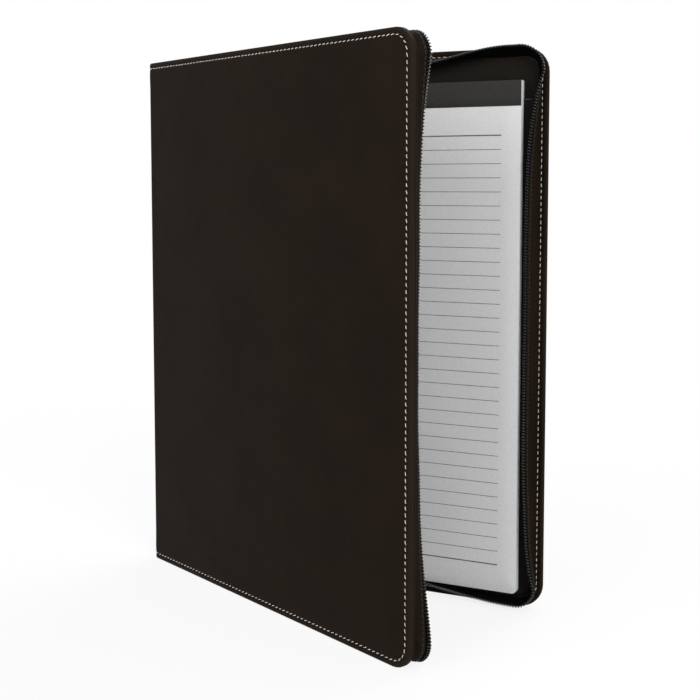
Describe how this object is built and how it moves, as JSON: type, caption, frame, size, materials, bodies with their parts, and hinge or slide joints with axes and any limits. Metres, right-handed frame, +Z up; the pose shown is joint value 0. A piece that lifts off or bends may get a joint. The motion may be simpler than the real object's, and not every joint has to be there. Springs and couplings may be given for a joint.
{
  "type": "zippered padfolio",
  "caption": "Zippered leatherette padfolio that opens like a book, with a letter-size writing pad held by its card in the rear cover, card and document pockets and a pen loop.",
  "frame": {"origin": "middle of the standing foot, on the surface it stands on", "axes": "+Z up along the spine, +X from the spine towards the open side, -Y on the front cover's side and +Y on the rear cover's side, which holds the pad"},
  "size_m": [0.2429, 0.1238, 0.3065],
  "materials": {
    "leatherette": "matte dark brown leatherette with a fine grain",
    "padding": "thin foam",
    "board": "grey board",
    "lining": "near-black woven lining",
    "zipper_tape": "woven tape",
    "zipper_coil": "black nylon coil",
    "zipper_metal": "black enamelled metal",
    "stiffener": "thin plastic strip",
    "elastic": "woven elastic",
    "card": "chipboard",
    "paper": "white ruled paper",
    "binding": "dark grey binding strip",
    "staple_wire": "bright wire"
  },
  "bodies": {
    "rear_cover": {"rear_cover_skin": "leatherette", "rear_cover_padding": "padding", "rear_cover_board": "board", "rear_lining": "lining", "rear_gusset": "leatherette", "rear_zipper_tape": "zipper_tape", "rear_zipper_coil": "zipper_coil", "rear_end_stops": "zipper_metal", "pad_pocket": "lining"},
    "spine": {"spine_skin": "leatherette", "spine_stiffener": "stiffener", "spine_lining": "lining", "pen_loop": "elastic"},
    "front_cover": {"front_cover_skin": "leatherette", "front_cover_padding": "padding", "front_cover_board": "board", "front_lining": "lining", "front_gusset": "leatherette", "front_zipper_tape": "zipper_tape", "front_zipper_coil": "zipper_coil", "front_end_stops": "zipper_metal", "document_pocket": "lining", "card_pocket_1": "lining", "card_pocket_2": "lining", "card_pocket_3": "lining"},
    "notepad": {"pad_card": "card", "pad_sheets": "paper", "pad_staples": "staple_wire", "pad_binding": "binding"},
    "slider": {"slider_body": "zipper_metal", "slider_crown": "zipper_metal"},
    "pull": {"pull_tab": "zipper_metal"}
  },
  "joints": [
    {"name": "rear_fold", "type": "hinge", "parent": "rear_cover", "child": "spine", "pos_m": [-0.11946, 0.01, 0.1525], "axis": [0, 0, -1], "range_deg": [-11.1, 77.5]},
    {"name": "front_fold", "type": "hinge", "parent": "spine", "child": "front_cover", "pos_m": [-0.11946, -0.01, 0.1525], "axis": [0, 0, -1], "range_deg": [-11.1, 77.5]},
    {"name": "slider_travel", "type": "slide", "parent": "rear_cover", "child": "slider", "axis": [0.9813, 0.1925, 0], "range_m": [0, 0.048]},
    {"name": "pull_swing", "type": "hinge", "parent": "slider", "child": "pull", "pos_m": [-0.10242, 0.00315, 0.30395], "axis": [0.1925, -0.9813, 0], "range_deg": [0, 150]},
    {"name": "pad_lift", "type": "slide", "parent": "rear_cover", "child": "notepad", "axis": [0, 0, 1], "range_m": [0, 0.006]}
  ]
}
